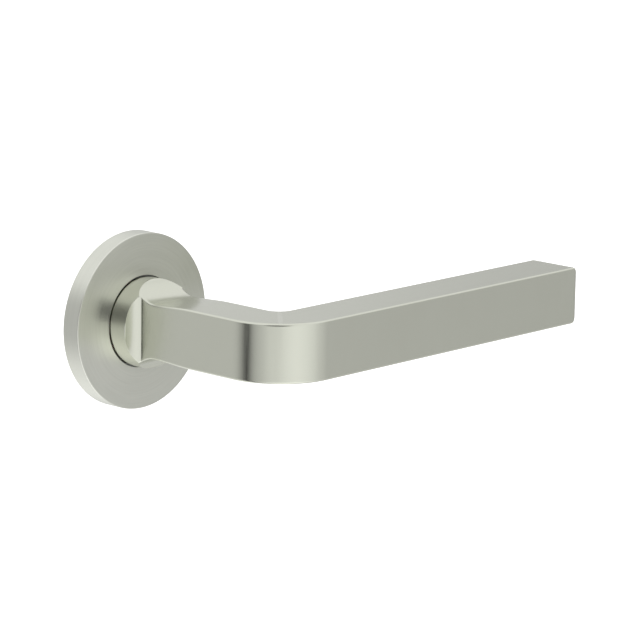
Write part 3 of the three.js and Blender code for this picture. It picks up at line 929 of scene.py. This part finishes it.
def make_carrier():
    disc = ring_outline(0, CARRIER_RADIUS, carrier_foot, carrier_top)
    plate = lathe("carrier_disc", disc, LARGE_SEGMENTS, SMALL_ROUND)
    hole = two_flat_outline(JOURNAL_RADIUS + RUN_GAP, JOURNAL_FLATS + 2 * RUN_GAP)
    tools = [prism("keyhole", hole, carrier_foot - REST_GAP, carrier_top + REST_GAP)]
    inner = JOURNAL_RADIUS + RUN_GAP + CARRIER_RING
    outer = CARRIER_RADIUS - CARRIER_RING
    for start in WINDOW_STARTS:
        opening = sector(inner, outer, start, start + WINDOW_SWEEP)
        tools.append(bevel_outline(prism("window", opening, carrier_foot - CLEAR, carrier_top + CLEAR)))
    cut(plate, *tools)
    tab_outline = sector(DRUM_INSIDE + RUN_GAP, CARRIER_RADIUS - RUN_GAP, TAB_START, TAB_END, 6)
    tab = prism("tab", tab_outline, carrier_foot + CARRIER_EDGE, tab_top)
    join(plate, bevel(tab, SMALL_ROUND))
    plate.name = "drive_carrier"
    return dress(shade(plate), "spring_carrier")


def bevel_outline(piece, width=0.6 * MM):
    """Rounds only the upright corners of a prism, as a punch does."""
    work = bmesh.new()
    work.from_mesh(piece.data)
    upright_edges = [
        edge for edge in work.edges
        if abs((edge.verts[0].co - edge.verts[1].co).normalized().y) > 0.99
        and edge.calc_face_angle(0) > math.radians(40)
    ]
    bmesh.ops.bevel(work, geom=upright_edges, offset=width, segments=5, profile=0.5, affect="EDGES")
    work.to_mesh(piece.data)
    work.free()
    return piece


def make_wave_washer(waves=3, segments=144):
    foot, top = heights("wave_washer")
    thickness = 0.35 * MM
    rise = (top - foot - thickness) / 2
    inner = JOURNAL_RADIUS + RUN_GAP
    outer = DRUM_INSIDE - 2 * WIRE_RADIUS
    section = rounded(ring_outline(inner, outer, 0, thickness), 0.1 * MM)

    def outline_at(share):
        lift = foot + rise * (1 + math.sin(2 * math.pi * waves * share))
        return [(r, h + lift) for r, h in section]

    return dress(shade(turned("spring_wave_washer", outline_at, segments)), "wave_washer")


CLIP_WIDTH = 2.4 * MM
CLIP_NARROWEST = 0.72
CLIP_OPENING = 20
CLIP_EAR_RADIUS = 0.75 * CLIP_WIDTH


def make_circlip(steps=72):
    """An open ring, widest opposite its opening, with two drilled ears."""
    inner = JOURNAL_RADIUS - GROOVE_DEPTH + REST_GAP
    start, end = 270 + CLIP_OPENING, 630 - CLIP_OPENING
    outline = []
    for angle in np.linspace(start, end, steps):
        share = (1 + math.cos(math.radians(angle - 90))) / 2
        width = CLIP_WIDTH * (CLIP_NARROWEST + (1 - CLIP_NARROWEST) * share)
        outline.append(polar(inner + width, angle))
    outline += arc(inner, end, start, steps)
    piece = prism("open_circlip", outline, clip_foot, clip_top)
    ears = [polar(inner + CLIP_WIDTH, angle) for angle in (start, end)]
    for place in ears:
        join(piece, move(rod("ear", CLIP_EAR_RADIUS, clip_foot, clip_top), *place))
    low, high = clip_foot - REST_GAP, clip_top + REST_GAP
    for place in ears:
        cut(piece, move(rod("drill", CLIP_EAR_RADIUS / 2, low, high), *place))
    return dress(shade(piece), "circlip")


# -------------------- fixed pieces

COVER_INSIDE = ROSE_RADIUS - COVER_WALL
COVER_UNDERSIDE = ROSE_THICKNESS - COVER_WALL
COVER_SEGMENTS = 252
COVER_STEPS = 6
# The points that belong to the middle corner of three rounded ones.
COVER_CORNER = slice(COVER_STEPS + 3, 2 * COVER_STEPS + 6)


def make_cover():
    hole = NECK_RADIUS + NECK_GAP
    corners = [
        (hole, COVER_UNDERSIDE, 0.12), (COVER_INSIDE, COVER_UNDERSIDE, 0.4), (COVER_INSIDE, 0, 0.12),
        (ROSE_RADIUS, 0, 0.15), (ROSE_RADIUS, ROSE_THICKNESS, 0.3), (hole, ROSE_THICKNESS, 0.1),
    ]
    outline = []
    for index, (radius, height, round_by) in enumerate(corners):
        before = corners[index - 1][:2]
        after = corners[(index + 1) % len(corners)][:2]
        outline += rounded([before, (radius, height), after], round_by * MM, COVER_STEPS)[COVER_CORNER]
    piece = lathe("turned_cover", outline, COVER_SEGMENTS, 0)
    return dress(shade(piece, 50), "rose_cover")


BASE_WEB = 1.5 * MM
BASE_RIM = 2.2 * MM
web_underside = base_top - BASE_WEB
FIXING_RADIUS = (post_low.z + post_high.z) / 2
POST_PLACES = {"upper": polar(FIXING_RADIUS, 90), "lower": polar(FIXING_RADIUS, -90)}
BOSS_RADIUS = 3.4 * MM
BOSS_DRAFT = 0.2 * MM
BUSH_WALL = 1 * MM
BUSH_FLANGE = 0.7 * MM
EAR_RADIUS = 3 * MM
EAR_THICKNESS = 2.5 * MM
EAR_SCREW_RADIUS = DRUM_OUTSIDE + 1.8 * MM
EAR_PLACES = {number: polar(EAR_SCREW_RADIUS, angle) for number, angle in ((1, 0), (2, 135), (3, 225))}
RIB_ANGLES = (25, 50, 67, 112, 158, 180, 202, 248, 293, 310, 335)
RIB_FOOT = 0.8 * MM
RIB_PAST_EARS = 0.9 * MM
RIB_INTO_RIM = 0.5 * MM
RIB_HALF_WIDTHS = (0.5 * MM, 0.6 * MM)
POST_SCREW = {
    "radius": 1.9 * MM, "head": 3.6 * MM, "slot": 0.9 * MM, "depth": 0.28 * MM, "pitch": 0.7 * MM}
HOUSING_SCREW = {
    "radius": 1.35 * MM, "head": 2.6 * MM, "slot": 0.7 * MM, "depth": 0.28 * MM, "pitch": 0.5 * MM}


def screw_hole(x, z, screw):
    """A tool that cuts a countersunk hole through the base's web."""
    radius = screw["radius"] + REST_GAP
    head = screw["head"] + REST_GAP
    outline = [
        (0, housing_foot), (radius, housing_foot), (radius, base_top - (head - radius)),
        (head, base_top), (head, base_top + CLEAR), (0, base_top + CLEAR),
    ]
    return move(lathe("screw_hole", outline, SMALL_SEGMENTS, 0), x, z)


def make_base():
    """The cast disc: web, rim with its ring groove, two bosses and stiffening ribs."""
    rim_inside = base_radius - BASE_RIM
    groove_foot, groove_top = ring_foot - REST_GAP, ring_top + REST_GAP
    groove_floor = ring_radius - (ring_top - ring_foot) - RUN_GAP
    hole = JOURNAL_RADIUS + BUSH_WALL + 2 * RUN_GAP
    piece = lathe("cast_base", [
        (hole, web_underside), (rim_inside, web_underside), (rim_inside, 0), (base_radius, 0),
        (base_radius, groove_foot), (groove_floor, groove_foot), (groove_floor, groove_top),
        (base_radius, groove_top), (base_radius, base_top), (hole, base_top),
    ], LARGE_SEGMENTS, CAST_ROUND)
    into_web = web_underside + REST_GAP
    for place in POST_PLACES.values():
        boss = lathe("boss", [
            (0, 0), (BOSS_RADIUS - BOSS_DRAFT, 0), (BOSS_RADIUS, BOSS_DRAFT),
            (BOSS_RADIUS + BOSS_DRAFT, into_web), (0, into_web),
        ], SMALL_SEGMENTS, 0)
        join(piece, move(boss, *place))
    inner_end = EAR_SCREW_RADIUS + EAR_RADIUS - RIB_PAST_EARS
    outer_end = rim_inside + RIB_INTO_RIM
    inner_half, outer_half = RIB_HALF_WIDTHS
    for angle in RIB_ANGLES:
        rib = prism("rib", [
            (inner_end, -inner_half), (outer_end, -outer_half),
            (outer_end, outer_half), (inner_end, inner_half),
        ], RIB_FOOT, into_web)
        join(piece, move(bevel(rib, SMALL_ROUND), turn=angle))
    for place in POST_PLACES.values():
        cut(piece, screw_hole(*place, POST_SCREW))
    for place in EAR_PLACES.values():
        cut(piece, screw_hole(*place, HOUSING_SCREW))
    return dress(shade(piece), "rose_base")


def make_ring(steps=24):
    section = (ring_top - ring_foot) / 2
    middle = (ring_top + ring_foot) / 2
    centre = ring_radius - section
    outline = [
        (centre + section * math.cos(angle), middle + section * math.sin(angle))
        for angle in np.linspace(0, 2 * math.pi, steps, endpoint=False)
    ]
    return dress(shade(lathe("grip_ring", outline, LARGE_SEGMENTS, 0)), "cover_ring")


def make_bush():
    bore = JOURNAL_RADIUS + RUN_GAP
    tube = bore + BUSH_WALL
    flange_foot = bush_top - BUSH_FLANGE
    outline = [
        (bore, bush_foot), (tube, bush_foot), (tube, flange_foot), (bush_radius, flange_foot),
        (bush_radius, bush_top), (bore, bush_top),
    ]
    return dress(shade(lathe("nylon_bush", outline, LARGE_SEGMENTS, SMALL_ROUND)), "neck_bush")


SPRING_ROOM = 0.5 * MM
COIL_TOP = spring_top - WIRE_RADIUS
COIL_FOOT = spring_foot + WIRE_RADIUS
COIL_RADIUS = DRUM_INSIDE - WIRE_RADIUS - SPRING_ROOM
COIL_TURNS = 2.5
COIL_FIXED_ANGLE = 180


def make_housing():
    """The drum: three ears, a slot for the spring's fixed leg and a notch for its free one."""
    drum = ring_outline(DRUM_INSIDE, DRUM_OUTSIDE, housing_foot, housing_top)
    piece = lathe("cast_drum", drum, LARGE_SEGMENTS, CAST_ROUND)
    ear_foot = housing_top - EAR_THICKNESS
    for place in EAR_PLACES.values():
        join(piece, move(rod("ear", EAR_RADIUS, ear_foot, housing_top, CAST_ROUND), *place))
    slot_half = spanned(WIRE_RADIUS + SPRING_ROOM)
    inner, outer = DRUM_INSIDE - REST_GAP, DRUM_OUTSIDE + REST_GAP
    low, high = housing_foot - REST_GAP, housing_top + REST_GAP
    hollow = lathe("hollow", ring_outline(0, DRUM_INSIDE, low, high), LARGE_SEGMENTS, 0)
    swing = sector(inner, outer, NOTCH_START, NOTCH_END)
    notch = prism("notch", swing, low, COIL_FOOT + WIRE_RADIUS + SPRING_ROOM)
    leg_way = sector(inner, outer, COIL_FIXED_ANGLE - slot_half, COIL_FIXED_ANGLE + slot_half, 6)
    slot = prism("slot", leg_way, COIL_TOP - WIRE_RADIUS - SPRING_ROOM, high)
    cut(piece, hollow, notch, slot)
    for place in POST_PLACES.values():
        cut(piece, move(rod("scallop", BOSS_RADIUS + REST_GAP, low, high), *place))
    screw_radius = HOUSING_SCREW["radius"] + REST_GAP
    for place in EAR_PLACES.values():
        cut(piece, move(rod("ear_hole", screw_radius, ear_foot - REST_GAP, high), *place))
    return dress(shade(piece), "spring_housing")


def make_buffer():
    outline = sector(DRUM_INSIDE + RUN_GAP, DRUM_OUTSIDE - RUN_GAP, BUFFER_START, BUFFER_END, 4)
    piece = prism("nylon_stop", outline, buffer_foot, buffer_top)
    return dress(shade(bevel(piece, SMALL_ROUND, 3)), "rest_buffer")


def make_thrust_ring():
    """The slide under the carrier, open where the tab and the spring's leg swing."""
    outline = sector(DRUM_INSIDE + RUN_GAP, CARRIER_RADIUS, NOTCH_END, 360 + NOTCH_START, 120)
    piece = prism("nylon_thrust_ring", outline, *heights("thrust_ring"))
    return dress(shade(bevel(piece, 0.12 * MM)), "thrust_ring")


def unit(vector):
    return vector / np.linalg.norm(vector)


def spring_leg(corner, inward, side, bend, bend_steps=6, steps=4):
    """Points from a tight bend, which starts inward of the corner, out to the leg's end."""
    outward = np.array([math.cos(side), 0, math.sin(side)])
    start = corner + inward * bend
    bend_end = corner + outward * bend
    end = corner + outward * (LEG_REACH - COIL_RADIUS)
    curve = [
        (1 - s) ** 2 * start + 2 * s * (1 - s) * corner + s ** 2 * bend_end
        for s in np.linspace(0, 1, bend_steps + 1)[1:]
    ]
    return curve + [bend_end + (end - bend_end) * s for s in np.linspace(0, 1, steps + 1)[1:]]


def make_spring(sides=16, steps_per_turn=64, bend=1.1 * MM):
    """Round wire: a coil with a leg at each end that turns outwards through a tight bend."""
    steps = int(steps_per_turn * COIL_TURNS)
    fixed_angle = math.radians(COIL_FIXED_ANGLE)
    wound = 2 * math.pi * COIL_TURNS
    path = []
    for step in range(steps + 1):
        share = step / steps
        angle = fixed_angle - wound * share
        height = COIL_TOP + (COIL_FOOT - COIL_TOP) * share
        path.append(np.array((COIL_RADIUS * math.cos(angle), -height, COIL_RADIUS * math.sin(angle))))

    def trimmed(points):
        """The path without its first points, whose place the bend takes."""
        corner = points[0]
        return [
            p for p in points
            if np.linalg.norm(p - corner) > bend or abs(p[1] - corner[1]) > 2 * WIRE_RADIUS
        ]

    corner_top, corner_foot = path[0], path[-1]
    into_top, into_foot = unit(path[1] - path[0]), unit(path[-2] - path[-1])
    middle = trimmed(path)
    middle = trimmed([corner_foot] + middle[::-1])[::-1]
    fixed_leg = spring_leg(corner_top, into_top, fixed_angle, bend)
    free_leg = spring_leg(corner_foot, into_foot, fixed_angle - wound, bend)
    line = fixed_leg[::-1] + middle + free_leg

    rings = []
    for index, point in enumerate(line):
        ahead = unit(line[min(index + 1, len(line) - 1)] - line[max(index - 1, 0)])
        across = unit(np.cross(ahead, (0, 1, 0)))
        over = np.cross(across, ahead)
        rings.append([
            tuple(point + WIRE_RADIUS * (across * math.cos(a) + over * math.sin(a)))
            for a in np.linspace(0, 2 * math.pi, sides, endpoint=False)
        ])
    piece = shade(loft("coiled_wire", rings), 50)
    dress(piece, "return_spring", rides=False)
    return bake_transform(piece)


POST_BORE = 2.15 * MM
POST_CHAMFER = 0.4 * MM
POST_THREAD = {"depth": 0.3 * MM, "pitch": 0.7 * MM}


def make_post(side, place):
    """A sleeve with a chamfered end and a threaded bore."""
    node = f"fixing_post_{side}"
    foot, top = heights(node)
    outside = (post_high.x - post_low.x) / 2
    mouth = POST_BORE + POST_CHAMFER
    root = POST_BORE + POST_THREAD["depth"]
    top_chamfer = POST_CHAMFER / 2

    def outline_at(share):
        wall = thread_points(root, POST_THREAD, foot + POST_CHAMFER, top - POST_CHAMFER, share)
        return [
            (mouth, foot), (outside - POST_CHAMFER, foot), (outside, foot + POST_CHAMFER),
            (outside, top - top_chamfer), (outside - top_chamfer, top), (mouth, top),
        ] + wall[::-1]

    piece = turned(f"threaded_post_{side}", outline_at, SMALL_SEGMENTS)
    return dress(shade(move(piece, *place)), node)


def make_screw(name, node, place, screw, slot_angle):
    """A slotted countersunk screw with a real thread below its head."""
    foot, top = heights(node)
    radius, head, slot = screw["radius"], screw["head"], screw["slot"]
    head_foot = top - (head - radius)
    rim, edge = 0.12 * MM, 0.1 * MM

    def outline_at(share):
        wall = thread_points(radius, screw, foot + radius / 2, head_foot - REST_GAP, share)
        head_points = [(radius, head_foot), (head, top - rim), (head - edge, top), (0, top)]
        return [(0, foot), (radius / 2, foot)] + wall + head_points

    piece = turned(name, outline_at, SMALL_SEGMENTS)
    reach, half = head + CLEAR, slot / 2
    slot_outline = [(-reach, -half), (reach, -half), (reach, half), (-reach, half)]
    cut(piece, move(prism("slot", slot_outline, top - slot, top + CLEAR), turn=slot_angle))
    return dress(shade(move(piece, *place)), node)


make_spindle()
make_grub_screw()
make_carrier()
make_wave_washer()
make_circlip()
make_cover()
make_base()
make_ring()
make_bush()
make_housing()
make_buffer()
make_thrust_ring()
make_spring()
for side, place in POST_PLACES.items():
    make_post(side, place)
    make_screw(f"long_screw_{side}", f"post_screw_{side}", place, POST_SCREW, slot_angle=35)
for number, place in EAR_PLACES.items():
    name, node = f"short_screw_{number}", f"housing_screw_{number}"
    make_screw(name, node, place, HOUSING_SCREW, slot_angle=50 * number - 25)


# -------------------- floor, light and camera

FLOOR_DROP = 0.45
FLOOR_REACH = 12
FLOOR_GLOW = 0.6
BACKDROP_RADIUS = 20

# The soft light on the studio's walls, as (compass direction in degrees from +X towards +Y, brightness).
WALL_LIGHT = [
    (0, 0.52), (36, 0.52), (40, 0.60), (43, 0.71), (80, 0.84), (110, 0.80), (128, 0.70), (146, 0.67),
    (158, 0.43), (165, 0.0), (170, 0.0), (178, 0.52), (190, 0.68), (215, 0.95), (240, 1.08), (256, 1.12),
    (270, 1.06), (285, 0.96), (300, 0.76), (322, 0.58), (345, 0.56), (360, 0.52),
]
WALL_SCALE = 2
CEILING_LIGHT = 1.05
GROUND_GAIN = 1.4
# The dark shape of the camera and its stand, as the metal reflects it.
STAND_DIRECTION = (-0.704, -0.648, 0.29)
STAND_LIGHT = 0
# Where each change of light starts and ends: a direction's rise, or its cosine to the stand's.
CEILING_FADE = (0.25, 0.65)
GROUND_FADE = (-0.7, -0.25)
STAND_FADE = (0.89, 0.97)

CAMERA_PLACE = (-0.71309, -0.73171, 0.22115)
CAMERA_HEADING = 42.5975
CAMERA_PITCH = -12.2150
CAMERA_ROLL = 0.9462
CAMERA_LENS = 201.1


def pale_material(name, cloud_scale, glow):
    g = Graph(name, (0.9, 0.9, 0.9), 0, 0.9)
    g.set("Emission Color", (1, 1, 1, 1))
    g.set("Emission Strength", glow)
    cloud = g.noise(g.place(), cloud_scale, 2)
    g.tint(cloud, (0.88, 0.88, 0.875), (0.92, 0.92, 0.915))
    return g.material


def make_floor():
    sides = [(-1, -1), (1, -1), (1, 1), (-1, 1)]
    corners = [(x * FLOOR_REACH, y * FLOOR_REACH, -FLOOR_DROP) for x, y in sides]
    floor = new_object("floor", corners, [(0, 1, 2, 3)])
    floor.data.materials.append(pale_material("pale_floor", 3, FLOOR_GLOW))
    floor.visible_glossy = False


def make_backdrop(rings=24, segments=48):
    """A white shell far round the set, which only the camera sees."""
    inner_angles = np.linspace(0, math.pi, rings)[-2:0:-1]
    outline = [(BACKDROP_RADIUS * math.sin(a), BACKDROP_RADIUS * math.cos(a)) for a in inner_angles]
    outline = [(0, -BACKDROP_RADIUS)] + outline + [(0, BACKDROP_RADIUS)]
    shell = lathe("backdrop", outline, segments, 0)
    shell.data.materials.append(pale_material("white_backdrop", 1, 1))
    for kind in ("glossy", "diffuse", "transmission", "volume_scatter", "shadow"):
        setattr(shell, f"visible_{kind}", False)


def make_world():
    """Soft light from all round: walls that change with the compass, a ceiling and a pale ground."""
    world = bpy.data.worlds.new("studio")
    world.use_nodes = True
    bpy.context.scene.world = world
    g = Nodes(world.node_tree)
    direction = g.node("ShaderNodeTexCoord").outputs["Generated"]
    x, y, z = g.split(direction)
    turn = g.math("DIVIDE", g.math("ARCTAN2", y, x), 2 * math.pi)
    compass = g.math("FRACT", g.math("ADD", turn, 1))
    ramp = g.node("ShaderNodeValToRGB")
    ramp.color_ramp.interpolation = "EASE"
    stops = ramp.color_ramp.elements
    while len(stops) > 1:
        stops.remove(stops[0])
    for index, (degrees, brightness) in enumerate(WALL_LIGHT):
        stop = stops[0] if index == 0 else stops.new(degrees / 360)
        stop.position = degrees / 360
        value = brightness / WALL_SCALE
        stop.color = (value, value, value, 1)
    g.plug(compass, ramp.inputs["Fac"])
    walls = g.math("MULTIPLY", ramp.outputs["Color"], WALL_SCALE)
    with_ceiling = g.remap(z, *CEILING_FADE, walls, CEILING_LIGHT, smooth=True)
    ground = g.math("MULTIPLY", walls, GROUND_GAIN)
    all_round = g.remap(z, *GROUND_FADE, ground, with_ceiling, smooth=True)
    towards_stand = g.vector_math("DOT_PRODUCT", direction, STAND_DIRECTION, "Value")
    background = world.node_tree.nodes["Background"]
    strength = g.remap(towards_stand, *STAND_FADE, all_round, STAND_LIGHT, smooth=True)
    g.plug(strength, background.inputs["Strength"])
    background.inputs["Color"].default_value = (1, 1, 1, 1)


def make_camera():
    data = bpy.data.cameras.new("camera")
    data.sensor_width = 36
    data.lens = CAMERA_LENS
    data.clip_start = 0.01
    data.clip_end = 100
    camera = bpy.data.objects.new("camera", data)
    bpy.context.scene.collection.objects.link(camera)
    heading = Matrix.Rotation(math.radians(CAMERA_HEADING - 90), 4, "Z")
    pitch = Matrix.Rotation(math.radians(CAMERA_PITCH + 90), 4, "X")
    roll = Matrix.Rotation(math.radians(CAMERA_ROLL), 4, "Z")
    camera.matrix_world = Matrix.Translation(CAMERA_PLACE) @ heading @ pitch @ roll
    bpy.context.scene.camera = camera


make_floor()
make_backdrop()
make_world()
make_camera()
bpy.context.scene.view_settings.view_transform = "Standard"
